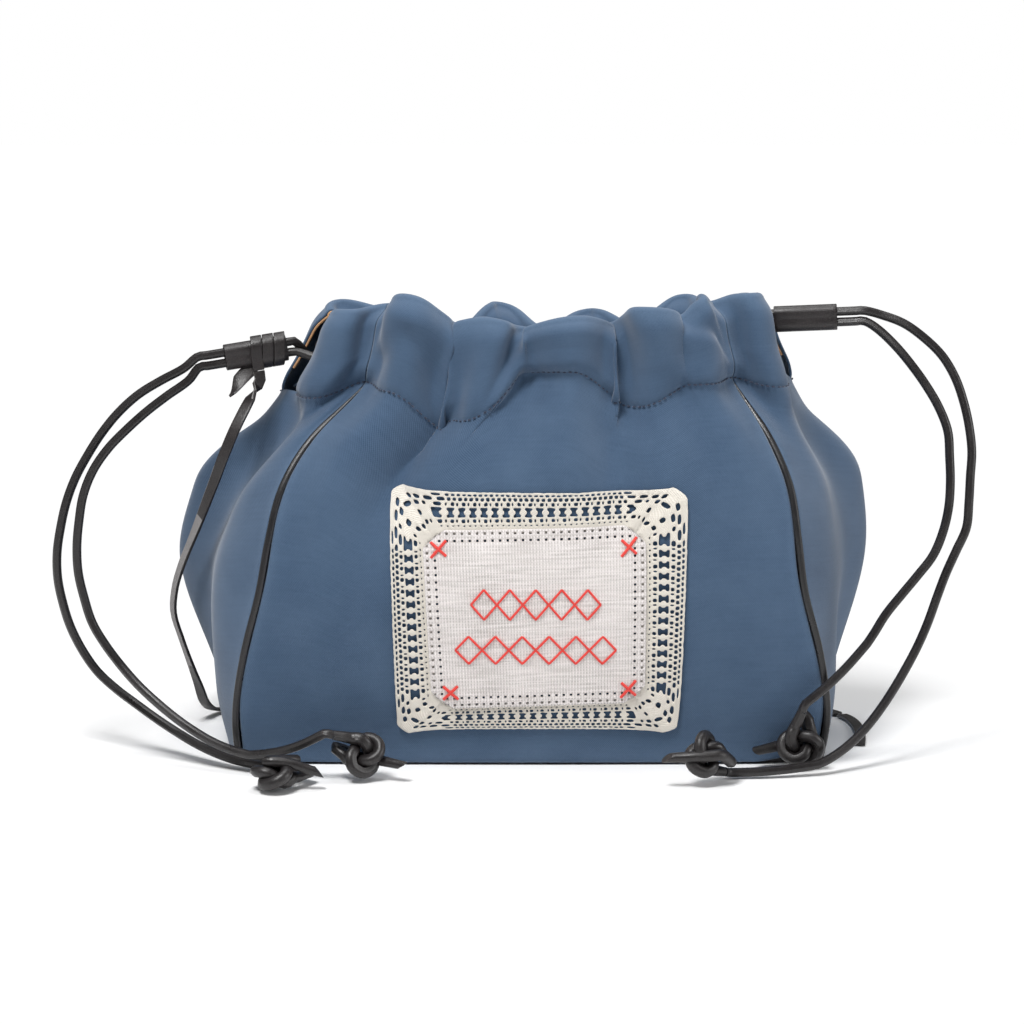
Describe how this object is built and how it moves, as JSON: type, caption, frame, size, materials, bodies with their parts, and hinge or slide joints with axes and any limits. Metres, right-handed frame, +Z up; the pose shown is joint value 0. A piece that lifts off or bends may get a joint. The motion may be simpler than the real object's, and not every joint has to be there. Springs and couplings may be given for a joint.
{
  "type": "drawstring pouch",
  "caption": "Gathered cloth drawstring pouch with gusseted sides, a flat base, a casing with two leather drawcords, leather sliders and a laced linen label.",
  "frame": {"origin": "middle of the underside of the pouch, cords not counted", "axes": "+Z up, the front with the label faces -Y, +X to the right of a viewer who faces the front"},
  "size_m": [0.4096, 0.1771, 0.2061],
  "materials": {
    "twill": "matt indigo twill, lightly faded",
    "black_leather": "satin",
    "brown_leather": "satin",
    "tan": "matt raw edge",
    "cotton": "matt crocheted cotton",
    "flax": "matt linen",
    "lining_cloth": "matt cotton"
  },
  "bodies": {
    "pouch": {"front_panel": "twill", "back_panel": "twill", "left_gusset": "twill", "right_gusset": "twill", "base_panel": "twill", "lining": "lining_cloth", "front_piping": "black_leather", "back_piping": "black_leather", "left_binding_back": "tan", "left_binding_front": "tan", "right_binding_back": "tan", "right_binding_front": "tan", "left_cord_in_casing": "brown_leather", "right_cord_in_casing": "brown_leather", "left_upper_strand": "brown_leather", "left_lower_strand": "brown_leather", "right_upper_strand": "brown_leather", "right_lower_strand": "brown_leather", "left_upper_knot": "brown_leather", "left_lower_knot": "brown_leather", "right_upper_knot": "brown_leather", "right_lower_knot": "brown_leather", "strap": "brown_leather", "lace_border": "cotton", "label_linen": "flax"},
    "left_slider": {"left_slider": "brown_leather", "strap_knot": "brown_leather"},
    "right_slider": {"right_slider": "brown_leather"}
  },
  "joints": [
    {"name": "left_slider_travel", "type": "slide", "parent": "pouch", "child": "left_slider", "axis": [-0.9658, -0.2181, -0.1402], "range_m": [-0.002, 0.01]},
    {"name": "right_slider_travel", "type": "slide", "parent": "pouch", "child": "right_slider", "axis": [0.9886, -0.1412, 0.053], "range_m": [-0.002, 0.01]}
  ]
}
